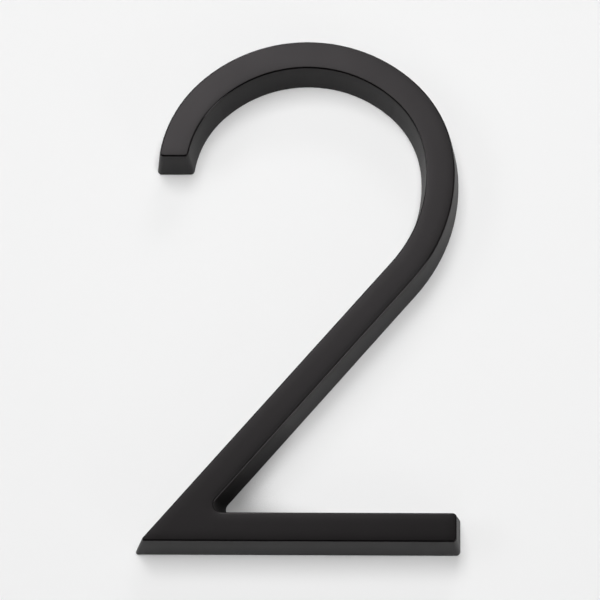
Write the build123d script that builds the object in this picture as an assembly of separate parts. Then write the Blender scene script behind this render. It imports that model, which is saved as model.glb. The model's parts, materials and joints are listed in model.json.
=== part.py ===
from build123d import *

import os
from math import asin, cos, degrees, radians, sin, tan

# Driving dimensions, in millimetres and degrees
height = 152.4  # foot of the base to the top of the bowl, at the wall, before rounding
depth = 12.7  # wall to front face
stroke = 10.9  # width of the stroke at the wall, before rounding
draft_angle = 6.0  # slope of every side wall towards the front
diagonal_angle = 49.4  # rise of the diagonal from the base

# The bowl's centre line is a chain of tangent arcs: a flat crown between two
# tighter shoulders, and a wide flank that runs into the diagonal.
crown_radius = 41.2
crown_half_angle = 44.0  # reach of the crown to each side of the vertical
shoulder_radius = 33.7
flank_radius = 45.8
flank_angle = 3.6  # where shoulder and flank meet, above the horizontal
tip_rise = 2.9  # level cut of the bowl's free end, above the shoulder's centre

# Rounds on the edges of the casting
corner_round = 1.2  # square ends of the tip and of the base
crook_round = 2.2  # hollow between the diagonal and the top of the base
front_round = 0.5  # rim of the front face
back_round = 0.35  # rim of the back face
point_margin = 0.1  # how much blunter than the front rim the lower left point is

# Two blind tapped holes in the back, for wall studs
thread_radius = 2.0  # outer radius of the thread
tapping_radius = 1.65  # drilled before the thread is cut
tap_taper = 1.5  # length over which the tap's tip narrows the hole to the drilled size
drill_point_angle = 118.0
front_skin = 3.7  # metal left between a hole's end and the front face

# The origin is the mouth of the lower stud hole, in the middle of the base's stroke.
# The outline is drawn with x to the right and y up, and its plane is the wall.
half = stroke / 2
point_round = front_round + point_margin
crown_centre = Vector(0, height - stroke - crown_radius)
crown_end = 90 - crown_half_angle
diagonal_normal = diagonal_angle - 90
upper_hole_level = crown_centre.Y + crown_radius


def polar(radius, angle):
    """A vector of this length at this angle from the horizontal."""
    return Vector(radius * cos(radians(angle)), radius * sin(radians(angle)))


right_shoulder = crown_centre + polar(crown_radius - shoulder_radius, crown_end)
left_shoulder = crown_centre + polar(crown_radius - shoulder_radius, 180 - crown_end)
flank_centre = right_shoulder + polar(shoulder_radius - flank_radius, flank_angle)
base_end = flank_centre.X + flank_radius + half  # the base ends below the bowl's right side


def bowl_side(offset):
    """The bowl's line at this offset from its centre line, from the tip to the diagonal."""
    tip_angle = 180 - degrees(asin(tip_rise / (shoulder_radius + offset)))
    centres = [left_shoulder, crown_centre, right_shoulder, flank_centre]
    radii = [shoulder_radius, crown_radius, shoulder_radius, flank_radius]
    ends = [tip_angle, 180 - crown_end, crown_end, flank_angle, diagonal_normal]
    return [
        CenterArc(centre, radius + offset, start, end - start)
        for centre, radius, start, end in zip(centres, radii, ends, ends[1:])
    ]


def diagonal_at(offset, level):
    """The point where the diagonal's side at this offset crosses this level."""
    start = flank_centre + polar(flank_radius + offset, diagonal_normal)
    return Vector(start.X + (level - start.Y) / tan(radians(diagonal_angle)), level)


outer_bowl = bowl_side(half)
inner_bowl = bowl_side(-half)
tip_corners = [outer_bowl[0] @ 0, inner_bowl[0] @ 0]
base_corners = [Vector(base_end, half), Vector(base_end, -half)]
crook = diagonal_at(half, half)
point = diagonal_at(-half, -half)


def outline():
    """The back face with sharp corners."""
    foot = Polyline(outer_bowl[-1] @ 1, crook, *base_corners, point, inner_bowl[-1] @ 1)
    tip = Line(*tip_corners)
    return make_face(Curve() + outer_bowl + foot + inner_bowl + tip)


def round_corners(body, corners, radius):
    """Round the wall edges that rise from these corners of the back face."""
    rising = body.edges().filter_by(lambda edge: edge.bounding_box().size.Y > depth / 2)
    edges = [rising.sort_by_distance(Vector(corner.X, 0, corner.Y))[0] for corner in corners]
    return fillet(edges, radius)


def stud_hole():
    """A hole at the thread's outer size with a tapered end, from the origin towards the front."""
    end = front_skin - depth
    taper_end = end + tapping_radius / tan(radians(drill_point_angle / 2))
    thread_end = taper_end + tap_taper
    thread = [(0, 0), (thread_radius, 0), (thread_radius, thread_end)]
    profile = Polyline(*thread, (tapping_radius, taper_end), (0, end), close=True)
    return revolve(make_face(profile), Axis.Y)


def numeral():
    """The figure two: a drafted casting with rounded edges and stud holes in its back."""
    body = extrude(Plane.XZ * outline(), amount=depth)
    walls = body.faces().filter_by(lambda face: face.bounding_box().size.Y > depth / 2)
    body = draft(walls, Plane.XZ, draft_angle)
    body = round_corners(body, [crook], crook_round)
    body = round_corners(body, tip_corners + base_corners, corner_round)
    body = round_corners(body, [point], point_round)
    body = fillet(body.faces().sort_by(Axis.Y)[0].edges(), front_round)
    body = fillet(body.faces().sort_by(Axis.Y)[-1].edges(), back_round)
    for level in (0, upper_hole_level):
        body -= Pos(0, 0, level) * stud_hole()
    return body


os.makedirs("parts", exist_ok=True)
export_step(numeral(), "parts/numeral.step")
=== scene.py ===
import json
from math import pi, radians, tan
from typing import NamedTuple

import bmesh
import bpy
import numpy as np
from bpy.props import FloatProperty, FloatVectorProperty, IntProperty, PointerProperty
from mathutils import Matrix, Vector


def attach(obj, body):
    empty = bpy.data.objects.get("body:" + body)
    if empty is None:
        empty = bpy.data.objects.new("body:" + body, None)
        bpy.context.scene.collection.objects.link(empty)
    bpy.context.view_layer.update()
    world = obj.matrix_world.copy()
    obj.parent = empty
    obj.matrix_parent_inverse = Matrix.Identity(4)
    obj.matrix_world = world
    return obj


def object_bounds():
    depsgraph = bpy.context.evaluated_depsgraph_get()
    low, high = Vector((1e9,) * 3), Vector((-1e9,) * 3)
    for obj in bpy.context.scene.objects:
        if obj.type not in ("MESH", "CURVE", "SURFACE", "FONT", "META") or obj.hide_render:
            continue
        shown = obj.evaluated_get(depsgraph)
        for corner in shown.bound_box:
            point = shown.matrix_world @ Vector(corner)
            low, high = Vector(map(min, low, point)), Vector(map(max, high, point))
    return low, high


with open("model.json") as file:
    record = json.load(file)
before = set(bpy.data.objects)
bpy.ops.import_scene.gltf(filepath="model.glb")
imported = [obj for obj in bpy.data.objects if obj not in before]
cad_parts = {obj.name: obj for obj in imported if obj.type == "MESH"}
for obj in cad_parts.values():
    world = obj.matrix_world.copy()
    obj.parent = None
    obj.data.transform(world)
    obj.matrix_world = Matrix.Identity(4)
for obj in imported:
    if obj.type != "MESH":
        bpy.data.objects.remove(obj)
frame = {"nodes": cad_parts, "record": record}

bl_info = {
    "name": "House Number Two",
    "version": (1, 0, 0),
    "blender": (4, 5, 0),
    "location": "3D View > Sidebar > House Number",
    "description": "Paints a cast figure two, threads its stud holes and sets it on a pale wall",
    "category": "Object",
}

CAD_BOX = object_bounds()
NUMERAL = frame["nodes"]["numeral"]
STUD_HOLES = [mount for mount in frame["record"]["mounts"] if mount["kind"] == "threaded_hole"]
MIDDLE = (CAD_BOX[0] + CAD_BOX[1]) / 2
MM = 0.001
MICRON = 1e-6
SKY = 0.9  # brightness of the surroundings where they are seen
SENSOR_WIDTH = 36  # of the camera, in millimetres


class Wire:
    """A shader socket that takes part in sums: each operator adds a Math node after it."""

    def __init__(self, socket):
        self.socket = socket

    def node(self, kind, settings, values, output=0):
        """Any other node: its settings come first, then the values or links of its sockets."""
        tree = self.socket.id_data
        made = tree.nodes.new(kind)
        for name, value in settings.items():
            setattr(made, name, value)
        for name, value in values.items():
            if isinstance(value, Wire):
                tree.links.new(value.socket, made.inputs[name])
            else:
                made.inputs[name].default_value = value
        return Wire(made.outputs[output]) if made.outputs else None

    def beside(self, output):
        """Another output of the node that this wire leaves."""
        return Wire(self.socket.node.outputs[output])

    def math(self, operation, first, second):
        """A Math node on two values."""
        return self.node("ShaderNodeMath", {"operation": operation}, {0: first, 1: second})

    def __add__(self, other):
        return self.math("ADD", self, other)

    def __radd__(self, other):
        return self.math("ADD", other, self)

    def __sub__(self, other):
        return self.math("SUBTRACT", self, other)

    def __rsub__(self, other):
        return self.math("SUBTRACT", other, self)

    def __mul__(self, other):
        return self.math("MULTIPLY", self, other)

    def __rmul__(self, other):
        return self.math("MULTIPLY", other, self)

    def __or__(self, other):
        return self.math("MAXIMUM", self, other)


def first_wire(owner, kind, output=0):
    """Empty the node tree of a material or world and start it with one node's output."""
    owner.use_nodes = True
    owner.node_tree.nodes.clear()
    return Wire(owner.node_tree.nodes.new(kind).outputs[output])


class PaintSettings(bpy.types.PropertyGroup):
    """Satin black paint on the casting."""

    colour: FloatVectorProperty(
        name="Colour", description="Colour of the paint", subtype="COLOR",
        size=3, min=0, max=1, default=(0.0034, 0.0030, 0.0031),
    )
    roughness: FloatProperty(
        name="Roughness", description="Roughness of the satin front", subtype="FACTOR",
        min=0, max=1, default=0.36,
    )
    side_roughness: FloatProperty(
        name="Side Roughness", description="Roughness of the sides, which are painted as cast",
        subtype="FACTOR", min=0, max=1, default=0.50,
    )
    rim_gloss: FloatProperty(
        name="Rim Gloss", description="How much smoother the paint is on the rims of the front",
        subtype="FACTOR", min=0, max=1, default=0.34,
    )
    hollow_reach: FloatProperty(
        name="Hollow Reach", description="How near another side makes a hollow",
        subtype="DISTANCE", unit="LENGTH", min=0, default=26 * MM,
    )
    hollow_dullness: FloatProperty(
        name="Hollow Dullness", description="How much rougher the paint is in a hollow",
        subtype="FACTOR", min=0, max=2, default=1.0,
    )
    ior: FloatProperty(
        name="Refraction", description="Index of refraction, which sets the strength of the gloss",
        min=1, max=3, default=1.25,
    )
    gloss_tint: FloatVectorProperty(
        name="Gloss Tint", description="Tint of the gloss", subtype="COLOR",
        size=3, min=0, max=1, default=(1.0, 0.94, 0.965),
    )
    mottle: FloatProperty(
        name="Mottle", description="Share by which the colour changes from patch to patch",
        subtype="FACTOR", min=0, max=1, default=0.12,
    )
    mottle_size: FloatProperty(
        name="Mottle Size", description="Width of a patch", subtype="DISTANCE",
        unit="LENGTH", min=1e-5, default=14 * MM,
    )
    peel_size: FloatProperty(
        name="Peel Size", description="Width of a wave of the sprayed surface",
        subtype="DISTANCE", unit="LENGTH", min=1e-6, default=1.3 * MM,
    )
    peel_depth: FloatProperty(
        name="Peel Depth", description="Depth of a wave of the sprayed surface",
        subtype="DISTANCE", unit="LENGTH", min=0, default=0.003 * MM,
    )
    grain_size: FloatProperty(
        name="Grain Size", description="Width of a grain of the satin finish",
        subtype="DISTANCE", unit="LENGTH", min=1e-6, default=0.22 * MM,
    )
    edge_reach: FloatProperty(
        name="Edge Reach", description="How far from an edge the paint starts to round over it",
        subtype="DISTANCE", unit="LENGTH", min=0, default=5 * MM,
    )
    edge_softness: FloatProperty(
        name="Edge Softness", description="How much the paint rounds over an edge",
        subtype="FACTOR", min=0, max=1, default=0.08,
    )


class ThreadSettings(bpy.types.PropertyGroup):
    """Thread in the two stud holes."""

    pitch: FloatProperty(
        name="Pitch", description="Distance from one turn to the next", subtype="DISTANCE",
        unit="LENGTH", min=1e-5, default=0.7 * MM,
    )
    height: FloatProperty(
        name="Height", description="Height of the thread above the wall of the hole",
        subtype="DISTANCE", unit="LENGTH", min=1e-6, default=0.35 * MM,
    )
    crest: FloatProperty(
        name="Crest", description="Width of the flat top of the thread", subtype="DISTANCE",
        unit="LENGTH", min=0, default=0.15 * MM,
    )
    steps: IntProperty(name="Steps", description="Sections in one turn", min=8, default=48)


class StageSettings(bpy.types.PropertyGroup):
    """Wall, light and camera."""

    wall_colour: FloatVectorProperty(
        name="Wall Colour", description="Colour of the wall", subtype="COLOR",
        size=3, min=0, max=1, default=(0.90, 0.90, 0.90),
    )
    # Painted shadow: the crook settings mix a darker colour into the wall where the numeral
    # encloses it most, in place of shade that the lamps don't give.
    crook_shade_colour: FloatVectorProperty(
        name="Crook Colour", description="Colour of the wall deep in the crook", subtype="COLOR",
        size=3, min=0, max=1, default=(0.44, 0.44, 0.44),
    )
    crook_place: FloatVectorProperty(
        name="Crook Place", description="Where the diagonal and the base meet on the wall",
        subtype="TRANSLATION", unit="LENGTH", size=3, default=(-24.6 * MM, 0, 5.5 * MM),
    )
    crook_reach: FloatProperty(
        name="Crook Reach", description="How far from the crook the wall can darken",
        subtype="DISTANCE", unit="LENGTH", min=1e-3, default=60 * MM,
    )
    crook_start: FloatProperty(
        name="Crook Start", description="Enclosed share of the wall's view where it darkens",
        subtype="FACTOR", min=0, max=1, default=0.42,
    )
    crook_end: FloatProperty(
        name="Crook End", description="Enclosed share where the wall has the crook's colour",
        subtype="FACTOR", min=0, max=1, default=0.62,
    )
    wall_reach: FloatProperty(
        name="Wall Reach", description="Distance from the numeral to each edge of the wall",
        subtype="DISTANCE", unit="LENGTH", min=0.1, default=1.2,
    )
    ambient: FloatProperty(
        name="Ambient", description="Brightness of the surroundings as a light",
        min=0, default=0.04,
    )
    focal_length: FloatProperty(
        name="Focal Length", description="Focal length of the camera",
        subtype="DISTANCE_CAMERA", unit="CAMERA", min=1, default=176.68,
    )
    camera_place: FloatVectorProperty(
        name="Camera Place", description="Where the camera stands", subtype="TRANSLATION",
        unit="LENGTH", size=3, default=(0.025325, -0.81744, -0.18019),
    )
    camera_turn: FloatProperty(
        name="Camera Turn", description="Turn of the camera to the left", subtype="ANGLE",
        unit="ROTATION", default=radians(1.9006),
    )
    camera_tilt: FloatProperty(
        name="Camera Tilt", description="Tilt of the camera upwards", subtype="ANGLE",
        unit="ROTATION", default=radians(17.018),
    )
    camera_roll: FloatProperty(
        name="Camera Roll", description="Roll of the camera about its line of sight",
        subtype="ANGLE", unit="ROTATION", default=radians(0.6427),
    )


class NumberSettings(bpy.types.PropertyGroup):
    """Everything that can be set on the house number and its stage."""

    paint: PointerProperty(type=PaintSettings)
    thread: PointerProperty(type=ThreadSettings)
    stage: PointerProperty(type=StageSettings)


PATCH_ROUGHNESS = 0.06  # change of the roughness from patch to patch
GRAIN_ROUGHNESS = 0.05  # and from grain to grain
GRAIN_HEIGHT = 0.12  # height of a grain, as a share of a wave's
RIM_PEAK = 27 / 4  # 1 over the highest value of f * f * (1 - f)


def paint_material(paint):
    """Satin black: a sprayed surface with faint waves, a fine grain and slow patches.

    The front is smoother than the sides, its rims are the smoothest, and the paint is dull in a
    hollow. With f as the share of the normal that faces the front, the front's smoothness goes
    with f * f and the rim's with f * f * (1 - f).
    """
    material = bpy.data.materials.new("satin_black_paint")
    place = first_wire(material, "ShaderNodeTexCoord", "Object")

    def noise(size, detail):
        values = {"Vector": place, "Scale": 1 / size, "Detail": detail}
        return place.node("ShaderNodeTexNoise", {}, values)

    patches = noise(paint.mottle_size, 2.0)
    waves = noise(paint.peel_size, 1.0)
    grain = noise(paint.grain_size, 2.0)
    dark = [channel * (1 - paint.mottle) for channel in paint.colour] + [1]
    light = [channel * (1 + paint.mottle) for channel in paint.colour] + [1]
    values = {0: patches, 6: dark, 7: light}
    colour = place.node("ShaderNodeMix", {"data_type": "RGBA"}, values, 2)

    facing = place.node("ShaderNodeSeparateXYZ", {}, {0: place.beside("Normal")}, "Y")
    front = (0 - facing) | 0
    polish = front * front * (paint.side_roughness - paint.roughness)
    rim = front * front * (1 - front) * (RIM_PEAK * paint.rim_gloss)
    settings = {"samples": 8, "only_local": True}
    values = {"Distance": paint.hollow_reach}
    open_side = place.node("ShaderNodeAmbientOcclusion", settings, values, "AO")
    hollow = (1 - open_side) * paint.hollow_dullness
    change = (patches - 0.5) * PATCH_ROUGHNESS + (grain - 0.5) * GRAIN_ROUGHNESS
    roughness = paint.side_roughness - polish - rim + hollow + change

    plain = place.node("ShaderNodeNewGeometry", {}, {}, "Normal")
    rounded = place.node("ShaderNodeBevel", {"samples": 8}, {"Radius": paint.edge_reach})
    values = {0: paint.edge_softness, 4: plain, 5: rounded}
    normal = place.node("ShaderNodeMix", {"data_type": "VECTOR"}, values, 1)
    height = waves + grain * GRAIN_HEIGHT
    values = {"Height": height, "Distance": paint.peel_depth, "Normal": normal}
    bump = place.node("ShaderNodeBump", {}, values)

    values = {"Base Color": colour, "Roughness": roughness, "Normal": bump}
    values |= {"IOR": paint.ior, "Specular Tint": [*paint.gloss_tint, 1]}
    shader = place.node("ShaderNodeBsdfPrincipled", {}, values)
    place.node("ShaderNodeOutputMaterial", {}, {"Surface": shader})
    return material


def seen(place):
    """1 for the rays that show the surroundings: camera, glossy and transmission rays."""
    rays = place.node("ShaderNodeLightPath", {}, {}, "Is Camera Ray")
    return rays | rays.beside("Is Glossy Ray") | rays.beside("Is Transmission Ray")


def wall_material(stage):
    """A pale wall with painted shade deep in the crook, clear to a camera behind it.

    The darker colour there is a painted shadow, not a colour of the wall. Of the short rays that
    leave a point of the wall, the share that meets the numeral says how enclosed the point is, and
    so how much painted shade it gets. The rays shorten with the way to the crook, down to nothing
    at its reach, so that the rest of the wall stays pale.
    """
    material = bpy.data.materials.new("pale_wall")
    behind = first_wire(material, "ShaderNodeNewGeometry", "Backfacing")
    pale = behind.node("ShaderNodeBsdfDiffuse", {}, {"Color": [*stage.wall_colour, 1]})
    # Painted shade: the darker colour that stands in for the crook's shadow.
    dark = behind.node("ShaderNodeBsdfDiffuse", {}, {"Color": [*stage.crook_shade_colour, 1]})

    place = behind.node("ShaderNodeTexCoord", {}, {}, "Object")
    values = {0: place, 1: stage.crook_place}
    away = behind.node("ShaderNodeVectorMath", {"operation": "DISTANCE"}, values, "Value")
    values = {"Distance": (stage.crook_reach - away) | 0}
    open_side = behind.node("ShaderNodeAmbientOcclusion", {"samples": 32}, values, "AO")
    # How much painted shade a point of the wall gets, from how enclosed it is.
    span = stage.crook_end - stage.crook_start
    enclosed = (1 - stage.crook_start - open_side) * (1 / span)
    wall = behind.node("ShaderNodeMixShader", {}, {0: enclosed, 1: pale, 2: dark})

    clear = behind.node("ShaderNodeBsdfTransparent", {}, {})
    camera = behind.node("ShaderNodeLightPath", {}, {}, "Is Camera Ray")
    shader = behind.node("ShaderNodeMixShader", {}, {0: behind * camera, 1: wall, 2: clear})
    behind.node("ShaderNodeOutputMaterial", {}, {"Surface": shader})
    return material


CARD_GREY = 0.004


def card_material():
    """Black card that the front of the numeral reflects."""
    material = bpy.data.materials.new("black_card")
    place = first_wire(material, "ShaderNodeTexCoord", "Object")
    colour = (CARD_GREY, CARD_GREY, CARD_GREY, 1)
    shader = place.node("ShaderNodeBsdfDiffuse", {}, {"Color": colour})
    place.node("ShaderNodeOutputMaterial", {}, {"Surface": shader})
    return material


def add_piece(name, vertices, faces, material):
    """A mesh object at the origin from arrays of vertices and faces."""
    mesh = bpy.data.meshes.new(name)
    mesh.from_pydata(vertices, [], faces)
    mesh.materials.append(material)
    piece = bpy.data.objects.new(name, mesh)
    bpy.context.scene.collection.objects.link(piece)
    return piece


def thread_surface(hole, thread):
    """A thread that stands inwards from the wall of a stud hole.

    A section with four corners is carried along a helix about the hole's axis. At angle a it lies
    pitch * a / 2 pi above the inner end of the thread, with two corners just behind the wall and
    two at the thread's height, and its flanks lean by 30 degrees. Over the first and the last
    turn it grows from a point of the wall.
    """
    radius, length = hole["dims"]["r_mm"] * MM, hole["dims"]["length_mm"] * MM
    turns = length / thread.pitch - 1
    angles = np.linspace(0, 2 * pi * turns, round(turns * thread.steps))[:, None]
    grown = np.minimum(1, np.minimum(angles, angles[::-1]) / (2 * pi))
    inwards = np.array([-0.1, 1, 1, -0.1]) * thread.height
    half_width = thread.crest / 2 + (thread.height - inwards) * tan(pi / 6)
    radii = radius - grown * inwards
    levels = thread.pitch * (angles / (2 * pi) + 0.5) - length + grown * half_width * [-1, -1, 1, 1]
    out = Vector(hole["axis"])
    across = out.orthogonal().normalized()
    up = out.cross(across)
    spokes = (np.cos(angles) * np.array(across) + np.sin(angles) * np.array(up))[:, None]
    sections = radii[:, :, None] * spokes + levels[:, :, None] * np.array(out)
    sections = sections + np.array(hole["pos_m"])
    ends, rows = sections[[0, -1], 0], sections[1:-1]
    corners = np.arange(rows.size // 3).reshape(-1, 4)
    turned = np.roll(corners, -1, axis=1)
    sides = np.stack([corners[:-1], turned[:-1], turned[1:], corners[1:]], axis=-1).reshape(-1, 4)
    first, last = np.full(4, corners.size), np.full(4, corners.size + 1)
    start = np.stack([first, turned[0], corners[0]], axis=1)
    end = np.stack([last, corners[-1], turned[-1]], axis=1)
    vertices = np.concatenate([rows.reshape(-1, 3), ends])
    return vertices.tolist(), sides.tolist() + start.tolist() + end.tolist()


def back_outline():
    """Corners of the outer edge of the numeral's back face, in order round it.

    The back face's triangles are those with all three corners on the wall plane. An edge that
    only one of them uses lies on a boundary, and the boundary with the longest way round is the
    outer one.
    """
    mesh = NUMERAL.data
    corners = np.empty(len(mesh.vertices) * 3, np.float32)
    mesh.vertices.foreach_get("co", corners)
    corners = corners.reshape(-1, 3)
    places = np.round(corners / MICRON).astype(np.int64)
    places, merged = np.unique(places, axis=0, return_inverse=True)
    triangles = np.empty(len(mesh.polygons) * 3, np.int32)
    mesh.polygons.foreach_get("vertices", triangles)
    triangles = merged.ravel()[triangles].reshape(-1, 3)
    flat = (np.abs(places[triangles][:, :, 1] * MICRON - CAD_BOX[1].y) < MICRON).all(axis=1)
    edges = triangles[flat][:, [[0, 1], [1, 2], [2, 0]]].reshape(-1, 2)
    edges = edges[edges[:, 0] != edges[:, 1]]
    used, counts = np.unique(np.sort(edges, axis=1), axis=0, return_counts=True)
    follows = {}
    for first, second in used[counts == 1].tolist():
        follows.setdefault(first, []).append(second)
        follows.setdefault(second, []).append(first)
    loops = []
    while follows:
        loop = [next(iter(follows))]
        while follows.get(loop[-1]):
            ahead = follows[loop[-1]].pop()
            follows[ahead].remove(loop[-1])
            loop.append(ahead)
        for corner in loop:
            follows.pop(corner, None)
        loops.append(places[loop[:-1]] * MICRON)
    return max(loops, key=lambda loop: np.linalg.norm(np.roll(loop, 1, 0) - loop, axis=1).sum())


def wall_surface(reach):
    """The wall plane from the numeral's back edge out to a square, as triangles."""
    outline = back_outline()
    level = CAD_BOX[1].y
    signs = ((-1, -1), (1, -1), (1, 1), (-1, 1))
    square = [(MIDDLE.x + reach * x, level, MIDDLE.z + reach * z) for x, z in signs]
    mesh = bmesh.new()
    for loop in (outline.tolist(), square):
        corners = [mesh.verts.new((x, level, z)) for x, _, z in loop]
        for first, second in zip(corners, corners[1:] + corners[:1]):
            mesh.edges.new((first, second))
    bmesh.ops.triangle_fill(mesh, use_beauty=True, edges=mesh.edges[:], normal=(0, -1, 0))
    mesh.verts.index_update()
    vertices = [tuple(corner.co) for corner in mesh.verts]
    faces = [[corner.index for corner in face.verts] for face in mesh.faces]
    mesh.free()
    return vertices, faces


def card_surface():
    """Two rectangles that meet in front of the numeral: one upright and one below it."""
    across, up, front, back = 1.6, 1.3, -1.35, -0.01
    rows = ((front, up), (front, -up), (back, -up))
    corners = [(x, y, z) for y, z in rows for x in (-across, across)]
    return corners, [(0, 1, 3, 2), (2, 3, 5, 4)]


class Lamp(NamedTuple):
    """A soft rectangular lamp that faces the numeral.

    Its light falls on plain colour, shows in gloss, or does both.
    """

    name: str
    place: tuple
    size: tuple
    radiance: float
    diffuse: bool
    glossy: bool


# The first six light the wall and give its shadows. The others show in the paint.
LAMPS = (
    Lamp("key", (-0.174, -1.25, 0.555), (0.47, 0.64), 7.6, True, False),
    Lamp("fill", (0.134, -1.25, 0.046), (0.28, 0.26), 34.6, True, False),
    Lamp("side", (-1.312, -1.25, 0.138), (0.47, 1.07), 1.4, True, False),
    Lamp("high", (0.414, -1.25, 2.173), (0.83, 0.36), 5.4, True, False),
    Lamp("low", (-0.203, -1.25, -1.372), (0.38, 0.92), 1.0, True, False),
    Lamp("low_right", (2.20, -1.25, -2.10), (1.00, 1.00), 1.3, True, False),
    Lamp("softbox", (-0.182, -1.033, 0.557), (0.50, 0.25), 16.0, False, True),
    Lamp("top", (-0.10, -0.75, 1.15), (0.90, 0.40), 9.0, False, True),
    Lamp("left", (-1.00, -0.75, 0.40), (0.40, 0.60), 9.0, False, True),
    Lamp("right", (1.00, -0.30, -0.42), (0.60, 0.40), 9.0, False, True),
    Lamp("back", (0.30, 1.10, 0.45), (1.00, 0.40), 6.0, True, True),
)


def add_lamp(lamp):
    """Hang a lamp. Its power is its radiance times pi times its area."""
    light = bpy.data.lights.new(lamp.name, "AREA")
    light.shape = "RECTANGLE"
    light.size, light.size_y = lamp.size
    light.energy = lamp.radiance * pi * lamp.size[0] * lamp.size[1]
    holder = bpy.data.objects.new(lamp.name, light)
    holder.location = lamp.place
    holder.rotation_mode = "QUATERNION"
    holder.rotation_quaternion = (MIDDLE - Vector(lamp.place)).to_track_quat("-Z", "Y")
    holder.visible_camera = False
    holder.visible_diffuse = lamp.diffuse
    holder.visible_glossy = lamp.glossy
    bpy.context.scene.collection.objects.link(holder)


class PaintNumeral(bpy.types.Operator):
    """Give the cast numeral its satin black paint"""

    bl_idname = "house_number.paint_numeral"
    bl_label = "Paint Numeral"

    def execute(self, context):
        NUMERAL.material_slots[0].material = paint_material(context.scene.house_number.paint)
        return {"FINISHED"}


class ThreadStudHoles(bpy.types.Operator):
    """Cut the thread in the two stud holes of the back"""

    bl_idname = "house_number.thread_stud_holes"
    bl_label = "Thread Stud Holes"

    def execute(self, context):
        thread = context.scene.house_number.thread
        for hole in STUD_HOLES:
            name = hole["name"].replace("hole", "thread")
            paint = NUMERAL.material_slots[0].material
            piece = add_piece(name, *thread_surface(hole, thread), paint)
            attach(piece, "root")
        return {"FINISHED"}


class SetStage(bpy.types.Operator):
    """Put a pale wall behind the numeral, light it and aim the camera"""

    bl_idname = "house_number.set_stage"
    bl_label = "Set Stage"

    def execute(self, context):
        stage = context.scene.house_number.stage
        wall = add_piece("wall", *wall_surface(stage.wall_reach), wall_material(stage))
        card = add_piece("dark_card", *card_surface(), card_material())
        card.visible_camera = card.visible_diffuse = card.visible_shadow = False
        for lamp in LAMPS:
            add_lamp(lamp)

        world = context.scene.world or bpy.data.worlds.new("studio")
        context.scene.world = world
        shade = first_wire(world, "ShaderNodeLightPath", "Is Camera Ray")
        shown = seen(shade)
        values = {"Color": (1, 1, 1, 1), "Strength": shown * SKY + (1 - shown) * stage.ambient}
        sky = shade.node("ShaderNodeBackground", {}, values)
        shade.node("ShaderNodeOutputWorld", {}, {"Surface": sky})

        camera = bpy.data.objects.new("camera", bpy.data.cameras.new("camera"))
        camera.data.lens = stage.focal_length
        camera.data.sensor_width = SENSOR_WIDTH
        camera.data.clip_end = 10
        turn = Matrix.Rotation(stage.camera_turn, 4, "Z")
        tilt = Matrix.Rotation(pi / 2 + stage.camera_tilt, 4, "X")
        roll = Matrix.Rotation(stage.camera_roll, 4, "Z")
        camera.matrix_world = Matrix.Translation(stage.camera_place) @ turn @ tilt @ roll
        context.scene.collection.objects.link(camera)
        context.scene.camera = camera
        context.scene.view_settings.view_transform = "Standard"
        return {"FINISHED"}


class NumberPanel(bpy.types.Panel):
    """Sidebar panel of the house number"""

    bl_idname = "VIEW3D_PT_house_number"
    bl_label = "House Number"
    bl_space_type = "VIEW_3D"
    bl_region_type = "UI"
    bl_category = "House Number"

    def draw(self, context):
        for operator in OPERATORS:
            self.layout.operator(operator.bl_idname)


OPERATORS = (PaintNumeral, ThreadStudHoles, SetStage)
CLASSES = (PaintSettings, ThreadSettings, StageSettings, NumberSettings, *OPERATORS, NumberPanel)


def register():
    """Register the classes and the settings."""
    for cls in CLASSES:
        bpy.utils.register_class(cls)
    bpy.types.Scene.house_number = PointerProperty(type=NumberSettings)


def unregister():
    """Remove the settings and the classes."""
    del bpy.types.Scene.house_number
    for cls in reversed(CLASSES):
        bpy.utils.unregister_class(cls)


def main():
    """Make the numeral's looks and its stage."""
    register()
    bpy.ops.house_number.paint_numeral()
    bpy.ops.house_number.thread_stud_holes()
    bpy.ops.house_number.set_stage()


if __name__ == "__main__":
    main()
